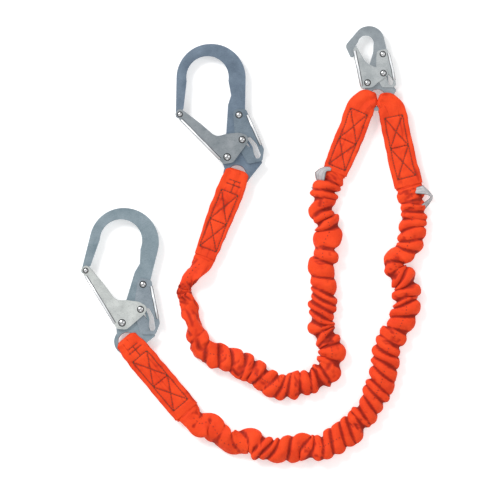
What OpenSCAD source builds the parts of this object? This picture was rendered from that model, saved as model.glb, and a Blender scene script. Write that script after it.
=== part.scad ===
// Twin-leg shock absorbing lanyard with two large rebar hooks and one snap hook.
// The lanyard lies flat: X to the right, Y towards the snap hook, Z up from the surface.

/* [Large hooks] */
// Thickness of the forged hook plate
hook_t = 9; // [7:0.5:11]
// Radius inside the bow, where a scaffold tube sits
bow_r = 35; // [33:0.5:36]
// Radius inside the webbing eye
eye_r = 15; // [13:0.5:16]
// Angle that the gate opens inwards
gate_open = 38; // [20:1:38]
// Radius of the gate rivet's shank
rivet_r = 3.5; // [2.5:0.1:4]

/* [Snap hook] */
// Thickness of the snap hook's plate
snap_t = 8; // [6:0.5:9]
// Radius inside the snap hook's bow
snap_bow_r = 13; // [12:0.5:13.5]
// Angle that the snap hook's gate opens inwards
snap_open = 26; // [15:1:26]

/* [Sheet metal] */
// Thickness of the large hooks' gate and lever plates
plate_t = 2; // [1.5:0.1:2.5]
// Thickness of the snap hook's gate and lever plates
snap_plate_t = 1.5; // [1:0.1:2]
// Side gap between plates that slide past each other
side_gap = 0.3; // [0.1:0.05:0.5]
// Radial clearance of a rivet in its hole
fit = 0.05; // [0.03:0.01:0.1]

/* [Webbing] */
// Width of the sewn webbing ends
web_w = 46; // [42:1:48]
// Thickness of one sewn loop layer at the eye
loop_t = 3.5; // [2.5:0.5:4]
// Thickness of the sewn stack
stack_t = 10; // [8:0.5:12]
// Width of the gathered jacket
jacket_w = 42; // [36:1:44]
// Height of the gathered jacket
jacket_h = 22; // [18:1:22]
// Wall of the gathered jacket
jacket_wall = 3; // [2:0.5:4]
// Width of the energy absorbing core
core_w = 26; // [20:1:28]
// Thickness of the energy absorbing core
core_t = 5; // [3:0.5:6]

/* [Hidden] */
$fn = 64;

steel = "lightsteelblue";
gate_steel = "silver";
orange = "orangered";

// Levels of the stacked plates, measured from the hook's mid-plane.
lever_z0 = hook_t / 2 + side_gap;
lever_z1 = lever_z0 + plate_t;
gate_z0 = lever_z1 + side_gap;
gate_z1 = gate_z0 + plate_t;
snap_lever_z0 = snap_t / 2 + side_gap;
snap_lever_z1 = snap_lever_z0 + snap_plate_t;
snap_gate_z0 = snap_lever_z1 + side_gap;
snap_gate_z1 = snap_gate_z0 + snap_plate_t;
head_h = 2.2;
head_gap = 0.05;
mid_z = gate_z1 + head_gap + head_h;

// Where each hook's webbing eye is, and how far the hook is turned in the plane.
hook_a_at = [-32, 82];
hook_a_turn = 0;
hook_b_at = [-212, -194];
hook_b_turn = -13;
snap_at = [200, 208];
snap_turn = 13;

// Points of the large hook, from the centre of its eye.
gate_pivot = [-15.5, 28.4];
lock_pin_at = [9.2, 56.9];
lever_pivot = [3.8, 97.8];
nose_pin_at = [-93.4, 98.7];
bow_centre = [-48, 160];
eye_rim_r = 22;

// Points of the snap hook, from the centre of its eye.
snap_gate_pivot = [-10.2, 27.9];
snap_lock_pin_at = [18.8, 37.3];
snap_lever_pivot = [25, 68.2];
snap_bow_centre = [2, 92];

// Routes of the two gathered legs, chosen by hand.
leg_a_route = [
    [129, 82.5], [118, 66], [111, 42], [110, 18], [120, -8], [116, -30], [113, -52], [109, -76],
    [112, -98], [110, -122], [108, -147], [106, -168], [114, -184], [124, -202], [125, -222],
    [116, -244], [98, -258], [70, -266], [44, -271], [20, -262], [-4, -245], [-28, -230],
    [-56, -224], [-78, -218], [-93, -202], [-98, -180], [-105, -156], [-112, -132], [-118, -112],
    [-112, -92], [-96, -76], [-85.5, -57]
];
leg_b_route = [
    [253, 59.5], [259, 38], [260, 16], [257, -4], [257, -24], [250, -42], [235, -53], [227, -67],
    [231, -79], [242, -90], [249, -104], [248, -122], [247, -145], [237, -167], [229, -180],
    [219, -195], [213, -213], [212, -231], [208, -248], [203, -267], [195, -286], [185, -306],
    [172, -325], [155, -341], [131, -358], [107, -371], [86, -372], [70, -367], [50, -373],
    [28, -376], [6, -368], [-14, -358], [-36, -363], [-53, -358], [-66, -343], [-78, -330],
    [-92, -333], [-102, -323], [-112.5, -311.5]
];

// ---- helpers ----

function unit(v) = v / norm(v);
function xy(p) = [p.x, p.y];

// Points of the arc that rounds corner p, between neighbours a and b.
function corner(p, a, b, r, n) =
    let (
        u = unit(a - p),
        w = unit(b - p),
        half = acos(u * w) / 2,
        c = p + unit(u + w) * r / sin(half),
        s = p + u * r / tan(half) - c,
        e = p + w * r / tan(half) - c,
        a0 = atan2(s.y, s.x),
        sweep = (atan2(e.y, e.x) - a0 + 540) % 360 - 180
    )
    [for (i = [0 : n]) c + r * [cos(a0 + sweep * i / n), sin(a0 + sweep * i / n)]];

// An outline from [x, y, corner radius] points.
function rounded(pts) =
    let (m = len(pts))
    [for (i = [0 : m - 1])
        let (
            p = xy(pts[i]),
            a = xy(pts[(i + m - 1) % m]),
            b = xy(pts[(i + 1) % m]),
            r = pts[i].z
        )
        each r == 0 || norm(unit(a - p) + unit(b - p)) < 0.001 ? [p]
            : corner(p, a, b, r, r > 20 ? 16 : 5)];

// A point turned about a centre, anticlockwise seen from above.
function turned(p, c, a) =
    c + [(p.x - c.x) * cos(a) - (p.y - c.y) * sin(a), (p.x - c.x) * sin(a) + (p.y - c.y) * cos(a)];

// Where the lock pin is, seen from the lever, when the gate has opened by a.
function pin_seen(pin, pivot, a, lever_at, ratio) =
    turned(turned(pin, pivot, -a), lever_at, a * ratio);

// The track that the lock pin needs across the lever, as the two turn together.
function pin_track(pin, pivot, open, lever_at, ratio, half_w) =
    let (
        steps = 7,
        path = [for (i = [0 : steps]) pin_seen(pin, pivot, open * i / steps, lever_at, ratio)],
        side = [for (i = [0 : steps])
            let (d = unit(path[min(i + 1, steps)] - path[max(i - 1, 0)]))
            half_w * [-d.y, d.x]]
    )
    concat([for (i = [0 : steps]) path[i] + side[i]], [for (i = [steps : -1 : 0]) path[i] - side[i]]);

module plate(outline, z0, z1) {
    translate([0, 0, z0]) linear_extrude(z1 - z0) polygon(outline);
}

// The same plate above and below the mid-plane.
module plate_pair(outline, z0, z1) {
    plate(outline, z0, z1);
    plate(outline, -z1, -z0);
}

module hole(at, r) {
    translate([at.x, at.y, -30]) cylinder(r = r, h = 60);
}

// A slot that follows a circle about a pivot, from the start point clockwise.
module arc_slot(pivot, start, sweep, half_w) {
    arm = start - pivot;
    a0 = atan2(arm.y, arm.x);
    translate([pivot.x, pivot.y, 0]) rotate([0, 0, a0 - sweep])
        rotate_extrude(angle = sweep)
            translate([norm(arm) - half_w, -30]) square([2 * half_w, 60]);
}

// A rivet along Z: a shank between two low domed heads.
module rivet(at, r, head_r, half_len) {
    dome_r = (head_r * head_r + head_h * head_h) / (2 * head_h);
    translate([at.x, at.y, 0]) {
        translate([0, 0, -half_len]) cylinder(r = r, h = 2 * half_len);
        for (side = [0, 1]) mirror([0, 0, side]) intersection() {
            translate([0, 0, half_len + head_h - dome_r]) sphere(r = dome_r);
            translate([0, 0, half_len]) cylinder(r = head_r, h = head_h + 1);
        }
    }
}

// One coil of spring wire about a rivet, with a short tail each way.
module wire_coil(at, r, wire_r, z, tail, tail_angle) {
    for (side = [-1, 1]) translate([at.x, at.y, side * z]) {
        rotate_extrude() translate([r, 0]) circle(r = wire_r, $fn = 24);
        for (a = tail_angle) rotate([0, 0, a]) translate([0, r, 0]) rotate([0, 90, 0])
            cylinder(r = wire_r * 0.98, h = tail, $fn = 24);
    }
}

// ---- large hook ----

hook_outline = rounded([
    [16, 215, 56.4], [-98, 215, 56.4], [-100.3, 94, 3], [-93, 92.2, 3], [-86.3, 99, 1.5],
    [-87.9, 106, 0], [-82.2, 156, 0], [-13.8, 156, 0], [-9, 130, 4], [-14, 114.5, 4], [-17, 68, 10],
    [-24.5, 45, 12], [-24.5, 22, 8], [-18, 4, 3], [0, -8, 0], [17.8, -11.8, 0], [43.8, 21, 2.5],
    [33, 24.5, 4], [28.6, 33, 6], [26.5, 45, 10], [17, 60, 8], [14, 78, 10], [14, 108, 30]
]);

module hook_body() {
    color(steel) difference() {
        union() {
            plate(hook_outline, -hook_t / 2, hook_t / 2);
            translate([0, 0, -hook_t / 2]) cylinder(r = eye_rim_r, h = hook_t);
        }
        hole([0, 0], eye_r);
        hole(bow_centre, bow_r);
        // The bow's inner edges are eased so that they roll over a tube.
        for (side = [0, 1]) mirror([0, 0, side])
            translate([bow_centre.x, bow_centre.y, hook_t / 2 - 1.2])
                cylinder(r1 = bow_r - 0.3, r2 = bow_r + 1.5, h = 1.8);
        for (side = [0, 1]) mirror([0, 0, side]) translate([0, 0, hook_t / 2 - 1.2])
            cylinder(r1 = eye_r - 0.3, r2 = eye_r + 1.5, h = 1.8);
        hole(gate_pivot, rivet_r + fit);
        hole(lever_pivot, 3 + fit);
        hole(lock_pin_at, 3 + 2 * fit);
        arc_slot(gate_pivot, lock_pin_at, gate_open + 6, 3 + fit);
        hole(nose_pin_at, 2.5 + 2 * fit);
        arc_slot(gate_pivot, nose_pin_at, 10, 2.5 + fit);
    }
}

gate_outline = rounded([
    [-101.6, 98.4, 3], [-96, 108, 5], [-88.5, 105.5, 5], [-60, 84, 30], [-34, 61.5, 16],
    [-17, 66.5, 20], [4, 68.5, 20], [20.5, 63.5, 8], [17.5, 51, 6], [-6, 19, 9], [-21.5, 16.7, 3]
]);

// The spine lies along the gate's outer edge and stops short of the nose.
spine_dir = unit([-98.8, 95.5] - [-21.5, 16.7]);
spine_in = [-spine_dir.y, spine_dir.x] * -1;

module gate() {
    foot = gate_pivot - spine_in * 12.5 + spine_dir * 6;
    tip = foot + spine_dir * 91;
    color(gate_steel) difference() {
        union() {
            plate_pair(gate_outline, gate_z0, gate_z1);
            plate([foot, tip, tip + spine_in * plate_t, foot + spine_in * plate_t],
                  -gate_z1, gate_z1);
        }
        hole(gate_pivot, rivet_r + fit);
        hole(lock_pin_at, 3 + fit);
        hole(nose_pin_at, 2.5 + fit);
    }
}

lever_outline = rounded([
    [-6.5, 107.5, 8], [15.2, 107.5, 5], [45.2, 41, 7], [42.5, 22, 5], [19, 16.6, 5], [7, 37, 10],
    [-2.5, 60, 10]
]);
lever_window = rounded([
    [17, 60, 2], [22.5, 61.8, 2.5], [33, 50, 12], [40, 32, 3], [37, 25, 4], [30, 27, 3], [27.2, 40, 8]
]);
lever_ratio = 0.26;

module lever() {
    color(gate_steel) difference() {
        union() {
            plate_pair(lever_outline, lever_z0, lever_z1);
            plate([[20.6, 92.6], [44, 40.8], [42.2, 40], [18.8, 91.8]], -lever_z1, lever_z1);
        }
        hole(lever_pivot, 3 + fit);
        plate(lever_window, -30, 30);
        hole(lock_pin_at, 3.25);
        plate(pin_track(lock_pin_at, gate_pivot, gate_open, lever_pivot, lever_ratio, 3.2),
              -30, 30);
    }
}

module gate_rivet() {
    color(steel) rivet(gate_pivot, rivet_r, 5.2, gate_z1 + head_gap);
}

module lever_rivet() {
    color(steel) rivet(lever_pivot, 3, 4.8, lever_z1 + head_gap);
}

module lock_pin() {
    color(steel) rivet(lock_pin_at, 3, 4.8, gate_z1 + head_gap);
}

module nose_pin() {
    color(steel) rivet(nose_pin_at, 2.5, 3.8, gate_z1 + head_gap);
}

module gate_spring() {
    z = (hook_t / 2 + gate_z0) / 2;
    color("gray") wire_coil(gate_pivot, 5.6, 0.9, z, 7, [60, 150]);
}

// A leaf spring that is fixed inside the lever and bears towards the hook's back.
module lever_spring() {
    color("gray") plate(
        [[18.4, 91.2], [28.2, 69.4], [26.8, 66], [24.6, 66.4], [25.6, 69.2], [17.4, 88]], -3.5, 3.5);
}

module place(at, turn) {
    translate([at.x, at.y, mid_z]) rotate([0, 0, turn]) children();
}

// ---- snap hook ----

snap_outline = rounded([
    [33, 119, 25], [-1, 119, 22], [-32, 96, 8], [-27.5, 73.5, 3.5], [-21.4, 75.5, 2], [-22, 86, 3],
    [-11, 92, 0], [15, 92, 0], [11, 76, 20], [0, 56, 6], [-12, 43, 10], [-16.5, 22, 7],
    [-16, 6, 3], [0, -8, 0], [17.5, -12, 0], [34, 5.5, 2.5], [30.5, 12, 3], [23, 17, 4],
    [25.5, 34, 6], [30.5, 48, 8], [33, 66, 20]
]);

module snap_body() {
    color(steel) difference() {
        union() {
            plate(snap_outline, -snap_t / 2, snap_t / 2);
            translate([0, 0, -snap_t / 2]) cylinder(r = 21, h = snap_t);
        }
        hole([0, 0], eye_r - 1);
        hole(snap_bow_centre, snap_bow_r);
        plate([[-11, 91], [-16.5, 90.8], [-3, 104], [4, 104], [6, 91]], -30, 30);
        for (side = [0, 1]) mirror([0, 0, side]) translate([0, 0, snap_t / 2 - 1])
            cylinder(r1 = eye_r - 1.3, r2 = eye_r + 0.3, h = 1.6);
        hole(snap_gate_pivot, 3 + fit);
        hole(snap_lever_pivot, 2.6 + fit);
        hole(snap_lock_pin_at, 2.5 + 2 * fit);
        arc_slot(snap_gate_pivot, snap_lock_pin_at, snap_open + 5.5, 2.5 + fit);
    }
}

snap_gate_outline = rounded([
    [-21.2, 86, 2], [-17, 91, 3], [-13.5, 88, 3], [-5.5, 61, 20], [8, 49.5, 20], [24.5, 47, 6],
    [27, 33, 6], [9, 25.5, 20], [-4, 18.5, 8], [-22.5, 21, 3]
]);

module snap_gate() {
    color(gate_steel) difference() {
        union() {
            plate_pair(snap_gate_outline, snap_gate_z0, snap_gate_z1);
            plate([[-20.6, 84], [-22.4, 25], [-20.9, 25], [-19.1, 84]],
                  -snap_gate_z1, snap_gate_z1);
            plate([[-20.6, 84], [-18.9, 86.6], [-17.6, 85.8], [-19.1, 83.6]],
                  -snap_gate_z1, snap_gate_z1);
        }
        hole(snap_gate_pivot, 3 + fit);
        hole(snap_lock_pin_at, 2.5 + fit);
    }
}

snap_lever_outline = rounded([
    [16, 75.5, 6], [34.5, 75.5, 4], [36.5, 40, 30], [35, 13, 4], [29, 10.8, 4], [11.5, 15, 5],
    [7.5, 30, 8], [10, 52, 10]
]);
snap_lever_ratio = 0.3;

module snap_lever() {
    color(gate_steel) difference() {
        union() {
            plate_pair(snap_lever_outline, snap_lever_z0, snap_lever_z1);
            plate([[36.4, 68], [36.6, 40], [35.6, 22], [34.1, 22], [35.1, 40], [34.9, 68]],
                  -snap_lever_z1, snap_lever_z1);
        }
        hole(snap_lever_pivot, 2.6 + fit);
        plate(rounded([[23, 32, 2], [27, 34, 2], [32, 24, 3], [30, 15, 2.5], [23, 17, 2.5]]), -30, 30);
        hole(snap_lock_pin_at, 2.75);
        plate(pin_track(snap_lock_pin_at, snap_gate_pivot, snap_open, snap_lever_pivot,
                        snap_lever_ratio, 2.7), -30, 30);
    }
}

module snap_gate_rivet() {
    color(steel) rivet(snap_gate_pivot, 3, 4.6, snap_gate_z1 + head_gap);
}

module snap_lever_rivet() {
    color(steel) rivet(snap_lever_pivot, 2.6, 4.2, snap_lever_z1 + head_gap);
}

module snap_lock_pin() {
    color(steel) rivet(snap_lock_pin_at, 2.5, 4.4, snap_gate_z1 + head_gap);
}

module snap_gate_spring() {
    z = (snap_t / 2 + snap_gate_z0) / 2;
    color("gray") wire_coil(snap_gate_pivot, 4.8, 0.7, z, 5, [90, 180]);
}

module snap_lever_spring() {
    color("gray") plate(
        [[34.7, 62], [34.8, 50], [34.2, 47.5], [33.4, 48], [33.6, 50], [33.6, 60]], -3, 3);
}

// ---- sewn webbing ends ----

// A sewn loop from the centre of a hook's eye, running towards -Y. The two faces pass over
// the eye's rim and are joined through the eye.
module loop_end(length, end_w, plate_half) {
    z0 = plate_half + 0.5;
    z1 = z0 + loop_t;
    outline = rounded([
        [-15, 5, 5], [15, 5, 5], [20.5, -12, 9], [web_w / 2, -45, 30], [end_w / 2, -length, 1],
        [-end_w / 2, -length, 1], [-web_w / 2, -45, 30], [-20.5, -12, 9]
    ]);
    color(orange) {
        difference() {
            intersection() {
                plate(outline, -z1, z1);
                // The side profile tapers from the eye down to the sewn stack.
                rotate([90, 0, 90]) translate([0, 0, -40]) linear_extrude(80) polygon([
                    [20, -z1], [-24, -z1], [-70, -stack_t / 2], [-length - 5, -stack_t / 2],
                    [-length - 5, stack_t / 2], [-70, stack_t / 2], [-24, z1], [20, z1]
                ]);
            }
            translate([-40, -31, -z0]) cube([80, 60, 2 * z0]);
        }
        translate([0, 0, -z1]) cylinder(r = 9, h = 2 * z1);
    }
}

// A leg's sewn end at the snap hook. The outline is in the lanyard's own plane.
module top_end(outline, eye_side) {
    z0 = snap_t / 2 + 0.5;
    z1 = z0 + loop_t;
    color(orange) translate([0, 0, mid_z]) {
        difference() {
            intersection() {
                plate(outline, -z1, z1);
                rotate([90, 0, 90]) linear_extrude(600) polygon([
                    [240, -z1], [180, -z1], [140, -stack_t / 2], [0, -stack_t / 2],
                    [0, stack_t / 2], [140, stack_t / 2], [180, z1], [240, z1]
                ]);
            }
            translate([snap_at.x - 60, snap_at.y - 30, -z0]) cube([120, 60, 2 * z0]);
        }
        intersection() {
            translate([snap_at.x, snap_at.y, -z1]) cylinder(r = 9, h = 2 * z1);
            translate([snap_at.x + (eye_side < 0 ? -20.4 : 0.4), snap_at.y - 20, -20])
                cube([20, 40, 40]);
        }
    }
}

leg_a_top_outline = rounded([
    [114, 98, 1], [136, 155, 60], [149, 187, 40], [158, 208, 20], [168, 216, 6], [184, 220, 6],
    [195, 215, 6], [199.6, 204, 3], [199.6, 184, 3], [181, 148, 40], [146, 72, 1]
]);
leg_b_top_outline = rounded([
    [230, 56, 1], [217, 110, 60], [203, 160, 40], [200.4, 184, 3], [200.4, 205, 3], [207, 216, 5],
    [218, 217, 6], [240, 193, 20], [250, 165, 40], [262, 120, 80], [276, 67, 1]
]);

// ---- gathered jackets and their cores ----

// A smooth curve through the route's points: a Catmull-Rom segment at parameter t.
function curve_at(pts, t) =
    let (
        last = len(pts) - 1,
        i = min(floor(t), last - 1),
        f = t - i,
        p0 = pts[max(i - 1, 0)],
        p1 = pts[i],
        p2 = pts[i + 1],
        p3 = pts[min(i + 2, last)]
    )
    0.5 * (2 * p1 + (p2 - p0) * f + (2 * p0 - 5 * p1 + 4 * p2 - p3) * f * f
        + (3 * p1 - p0 - 3 * p2 + p3) * f * f * f);

// One oval ring about the curve, lying across it.
function oval_ring(c, ahead, w, h, sides) =
    let (side = [-ahead.y, ahead.x])
    [for (k = [0 : sides - 1])
        let (a = 360 * k / sides)
        [c.x + side.x * w / 2 * cos(a), c.y + side.y * w / 2 * cos(a), mid_z + h / 2 * sin(a)]];

function oval_rings(pts, steps, w, h, sides) =
    let (last = len(pts) - 1)
    [for (s = [0 : steps])
        let (
            t = last * s / steps,
            ahead = unit(curve_at(pts, min(t + 0.3, last)) - curve_at(pts, max(t - 0.3, 0)))
        )
        each oval_ring(curve_at(pts, t), ahead, w, h, sides)];

// Faces between ring s and the next one, for a tube whose first point is number base.
function wall_faces(base, steps, sides, outwards) =
    [for (s = [0 : steps - 1], k = [0 : sides - 1])
        let (
            a = base + s * sides + k,
            b = base + s * sides + (k + 1) % sides,
            c = b + sides,
            d = a + sides
        )
        outwards ? [a, d, c, b] : [a, b, c, d]];

module hollow_tube(pts, steps, w, h, wall, sides) {
    outer = oval_rings(pts, steps, w, h, sides);
    inner = oval_rings(pts, steps, w - 2 * wall, h - 2 * wall, sides);
    n = len(outer);
    end = steps * sides;
    start_rim = [for (k = [0 : sides - 1]) let (j = (k + 1) % sides) [k, j, n + j, n + k]];
    end_rim = [for (k = [0 : sides - 1])
        let (j = (k + 1) % sides) [end + j, end + k, n + end + k, n + end + j]];
    polyhedron(
        concat(outer, inner),
        concat(wall_faces(0, steps, sides, true), wall_faces(n, steps, sides, false),
            start_rim, end_rim));
}

module solid_strip(pts, steps, w, h, sides) {
    points = oval_rings(pts, steps, w, h, sides);
    caps = [[for (k = [0 : sides - 1]) k], [for (k = [0 : sides - 1]) len(points) - 1 - k]];
    polyhedron(points, concat(wall_faces(0, steps, sides, true), caps));
}

module jacket(route, steps) {
    color(orange) hollow_tube(route, steps, jacket_w, jacket_h, jacket_wall, 12);
}

module core(route, steps) {
    color("ivory") solid_strip(route, steps, core_w, core_t, 8);
}

// A folded ribbon tag that stands out beside the joint of the jacket and the sewn end.
module tag(at, turn) {
    color("lightgray") translate([at.x, at.y, mid_z - 1]) rotate([0, 0, turn])
        plate(rounded([[-5, -14, 1], [5, -14, 1], [5, 14, 1], [-5, 14, 1]]), 0, 2);
}

// ---- nodes ----

module leg_a_top_end() { top_end(leg_a_top_outline, -1); }
module leg_b_top_end() { top_end(leg_b_top_outline, 1); }
module leg_a_hook_end() { place(hook_a_at, -21) loop_end(146, 36, hook_t / 2); }
module leg_b_hook_end() { place(hook_b_at, 40) loop_end(152, web_w, hook_t / 2); }
module leg_a_jacket() { jacket(leg_a_route, 36); }
module leg_b_jacket() { jacket(leg_b_route, 42); }
module leg_a_core() { core(leg_a_route, 36); }
module leg_b_core() { core(leg_b_route, 42); }
module leg_a_label() { tag([97, 85], -34); }
module leg_b_label() { tag([286, 42], 16); }

place(hook_a_at, hook_a_turn) hook_body();  // hook_a_body
place(hook_a_at, hook_a_turn) gate();  // hook_a_gate
place(hook_a_at, hook_a_turn) lever();  // hook_a_lever
place(hook_a_at, hook_a_turn) gate_rivet();  // hook_a_gate_rivet
place(hook_a_at, hook_a_turn) lever_rivet();  // hook_a_lever_rivet
place(hook_a_at, hook_a_turn) lock_pin();  // hook_a_lock_pin
place(hook_a_at, hook_a_turn) nose_pin();  // hook_a_nose_pin
place(hook_a_at, hook_a_turn) gate_spring();  // hook_a_gate_spring
place(hook_a_at, hook_a_turn) lever_spring();  // hook_a_lever_spring
place(hook_b_at, hook_b_turn) hook_body();  // hook_b_body
place(hook_b_at, hook_b_turn) gate();  // hook_b_gate
place(hook_b_at, hook_b_turn) lever();  // hook_b_lever
place(hook_b_at, hook_b_turn) gate_rivet();  // hook_b_gate_rivet
place(hook_b_at, hook_b_turn) lever_rivet();  // hook_b_lever_rivet
place(hook_b_at, hook_b_turn) lock_pin();  // hook_b_lock_pin
place(hook_b_at, hook_b_turn) nose_pin();  // hook_b_nose_pin
place(hook_b_at, hook_b_turn) gate_spring();  // hook_b_gate_spring
place(hook_b_at, hook_b_turn) lever_spring();  // hook_b_lever_spring
place(snap_at, snap_turn) snap_body();
place(snap_at, snap_turn) snap_gate();
place(snap_at, snap_turn) snap_lever();
place(snap_at, snap_turn) snap_gate_rivet();
place(snap_at, snap_turn) snap_lever_rivet();
place(snap_at, snap_turn) snap_lock_pin();
place(snap_at, snap_turn) snap_gate_spring();
place(snap_at, snap_turn) snap_lever_spring();
leg_a_top_end();
leg_a_jacket();
leg_a_core();
leg_a_hook_end();
leg_a_label();
leg_b_top_end();
leg_b_jacket();
leg_b_core();
leg_b_hook_end();
leg_b_label();
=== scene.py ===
import math
import random

import bmesh
import bpy
from mathutils import Matrix, Vector, noise


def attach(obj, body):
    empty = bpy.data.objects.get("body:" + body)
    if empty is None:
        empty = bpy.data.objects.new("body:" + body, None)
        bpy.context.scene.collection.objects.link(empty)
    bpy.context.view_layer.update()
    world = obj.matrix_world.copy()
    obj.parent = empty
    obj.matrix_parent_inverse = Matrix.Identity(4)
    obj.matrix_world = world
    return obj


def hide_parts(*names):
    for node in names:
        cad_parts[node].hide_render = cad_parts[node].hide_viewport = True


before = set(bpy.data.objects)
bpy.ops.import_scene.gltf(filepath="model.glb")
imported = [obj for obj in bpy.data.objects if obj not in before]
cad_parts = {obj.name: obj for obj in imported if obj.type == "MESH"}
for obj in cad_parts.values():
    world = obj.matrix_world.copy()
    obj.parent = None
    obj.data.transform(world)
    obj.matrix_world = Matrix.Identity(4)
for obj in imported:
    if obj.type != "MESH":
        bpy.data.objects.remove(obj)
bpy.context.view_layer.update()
scene = bpy.context.scene
midHeight = 0.01135  # the hooks' mid-plane above the surface
print("frame loaded")


# Camera: straight above the lanyard, far away, so that heights hardly lean.
cameraSettings = {"centre": (-0.0099, -0.0429), "height": 6.0, "width": 0.825, "sensor": 36}

cameraData = bpy.data.cameras.new("aboveCamera")
cameraData.sensor_width = cameraSettings["sensor"]
cameraData.lens = cameraSettings["sensor"] * cameraSettings["height"] / cameraSettings["width"]
cameraData.clip_end = 50
camera = bpy.data.objects.new("aboveCamera", cameraData)
camera.location = (*cameraSettings["centre"], cameraSettings["height"] + midHeight)
scene.collection.objects.link(camera)
scene.camera = camera


# Small tools for shader nodes.
def newMaterial(name):
    material = bpy.data.materials.new(name)
    material.use_nodes = True
    tree = material.node_tree
    shader = tree.nodes["Principled BSDF"]
    return material, tree, shader


def addNode(tree, kind, values=None, **settings):
    node = tree.nodes.new(kind)
    for key, value in settings.items():
        setattr(node, key, value)
    for key, value in (values or {}).items():
        node.inputs[key].default_value = value
    return node


def addRamp(tree, source, stops):
    ramp = addNode(tree, "ShaderNodeValToRGB")
    elements = ramp.color_ramp.elements
    while len(elements) < len(stops):
        elements.new(0.5)
    for element, (place, colour) in zip(elements, stops):
        element.position = place
        element.color = (*colour, 1)
    tree.links.new(source, ramp.inputs["Fac"])
    return ramp


def addMix(tree, factor, first, second, blend="MIX"):
    mix = addNode(tree, "ShaderNodeMix", data_type="RGBA", blend_type=blend)
    for value, socket in ((factor, 0), (first, 6), (second, 7)):
        if isinstance(value, bpy.types.NodeSocket):
            tree.links.new(value, mix.inputs[socket])
        elif isinstance(value, (int, float)):
            mix.inputs[socket].default_value = value
        else:
            mix.inputs[socket].default_value = (*value, 1)
    return mix.outputs[2]


def addMath(tree, operation, first, second=0.0):
    node = addNode(tree, "ShaderNodeMath", operation=operation)
    for value, socket in ((first, 0), (second, 1)):
        if isinstance(value, bpy.types.NodeSocket):
            tree.links.new(value, node.inputs[socket])
        else:
            node.inputs[socket].default_value = value
    return node.outputs[0]


def addNoise(tree, vector, scale, detail=3.0, roughness=0.5):
    node = addNode(tree, "ShaderNodeTexNoise",
                   {"Scale": scale, "Detail": detail, "Roughness": roughness})
    tree.links.new(vector, node.inputs["Vector"])
    return node.outputs["Fac"]


def addBump(tree, shader, height, strength, distance, before=None):
    bump = addNode(tree, "ShaderNodeBump", {"Strength": strength, "Distance": distance})
    tree.links.new(height, bump.inputs["Height"])
    if before is not None:
        tree.links.new(before.outputs["Normal"], bump.inputs["Normal"])
    tree.links.new(bump.outputs["Normal"], shader.inputs["Normal"])
    return bump


# Woven webbing, with its threads along the piece's own UV map, which is in metres.
def webbingMaterial(name, look):
    material, tree, shader = newMaterial(name)
    place = addNode(tree, "ShaderNodeTexCoord").outputs["Object"]
    uv = addNode(tree, "ShaderNodeUVMap", uv_map="weave").outputs["UV"]
    split = addNode(tree, "ShaderNodeSeparateXYZ")
    tree.links.new(uv, split.inputs[0])
    across = addMath(tree, "SINE", addMath(tree, "MULTIPLY", split.outputs[0],
                                           2 * math.pi / look["threadAcross"]))
    along = addMath(tree, "SINE", addMath(tree, "MULTIPLY", split.outputs[1],
                                          2 * math.pi / look["threadAlong"]))
    weave = addMath(tree, "MULTIPLY", across, along)
    cords = addMath(tree, "ABSOLUTE", across)
    lift = addMath(tree, "ADD", addMath(tree, "MULTIPLY", weave, 1 - look["cordShare"]),
                   addMath(tree, "MULTIPLY", cords, look["cordShare"]))
    patches = addNoise(tree, place, look["patchScale"], 4.0, 0.6)
    tone = addRamp(tree, patches, [(0.3, look["deep"]), (0.62, look["bright"])])
    grain = addRamp(tree, lift, [(0.0, look["grooves"]), (0.45, (1, 1, 1))])
    colour = addMix(tree, 1.0, tone.outputs["Color"], grain.outputs["Color"], "MULTIPLY")
    fuzz = addNoise(tree, place, look["fuzzScale"], 2.0, 0.7)
    colour = addMix(tree, addMath(tree, "MULTIPLY", fuzz, look["fuzz"]), colour, look["bright"])
    # Painted shade: a point attribute darkens the webbing in its creases and between its folds.
    creaseShadeNode = addNode(tree, "ShaderNodeAttribute", attribute_name="creaseShade")
    shade = addRamp(tree, creaseShadeNode.outputs["Fac"],
                    [(0.14, (1, 1, 1)), (0.42, look["creaseShade"]), (0.85, look["deepCreaseShade"])])
    colour = addMix(tree, 1.0, colour, shade.outputs["Color"], "MULTIPLY")
    tree.links.new(colour, shader.inputs["Base Color"])
    shader.inputs["Roughness"].default_value = look["roughness"]
    shader.inputs["Specular IOR Level"].default_value = look["gloss"]
    shader.inputs["Sheen Weight"].default_value = look["sheen"]
    shader.inputs["Sheen Roughness"].default_value = look["sheenRoughness"]
    shader.inputs["Sheen Tint"].default_value = (*look["sheenTint"], 1)
    coarse = addBump(tree, shader, addNoise(tree, place, 150, 3.0, 0.55), 0.25, 0.002)
    addBump(tree, shader, lift, 0.55, 0.0003, coarse)
    return material


orangeLook = {
    "bright": (0.90, 0.068, 0.009), "deep": (0.76, 0.042, 0.005),
    # The two crease colours are painted shade, multiplied in where the webbing creases.
    "grooves": (0.84, 0.72, 0.68), "creaseShade": (0.66, 0.45, 0.40), "deepCreaseShade": (0.36, 0.20, 0.18),
    "threadAcross": 0.0016, "threadAlong": 0.0013, "cordShare": 0.65,
    "patchScale": 38, "fuzzScale": 900, "fuzz": 0.16, "roughness": 0.72, "gloss": 0.25,
    "sheen": 0.12, "sheenRoughness": 0.45, "sheenTint": (1.0, 0.45, 0.3),
}
orangeWebbing = webbingMaterial("orangeWebbing", orangeLook)


def threadMaterial(name, colour, shade):
    material, tree, shader = newMaterial(name)
    place = addNode(tree, "ShaderNodeTexCoord").outputs["Object"]
    tone = addRamp(tree, addNoise(tree, place, 420, 2.0), [(0.35, shade), (0.65, colour)])
    tree.links.new(tone.outputs["Color"], shader.inputs["Base Color"])
    shader.inputs["Roughness"].default_value = 0.6
    addBump(tree, shader, addNoise(tree, place, 2600, 1.0), 0.5, 0.0002)
    return material


boxThread = threadMaterial("boxThread", (0.115, 0.034, 0.010), (0.055, 0.020, 0.008))
seamThread = threadMaterial("seamThread", (0.26, 0.012, 0.010), (0.14, 0.008, 0.007))


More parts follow.
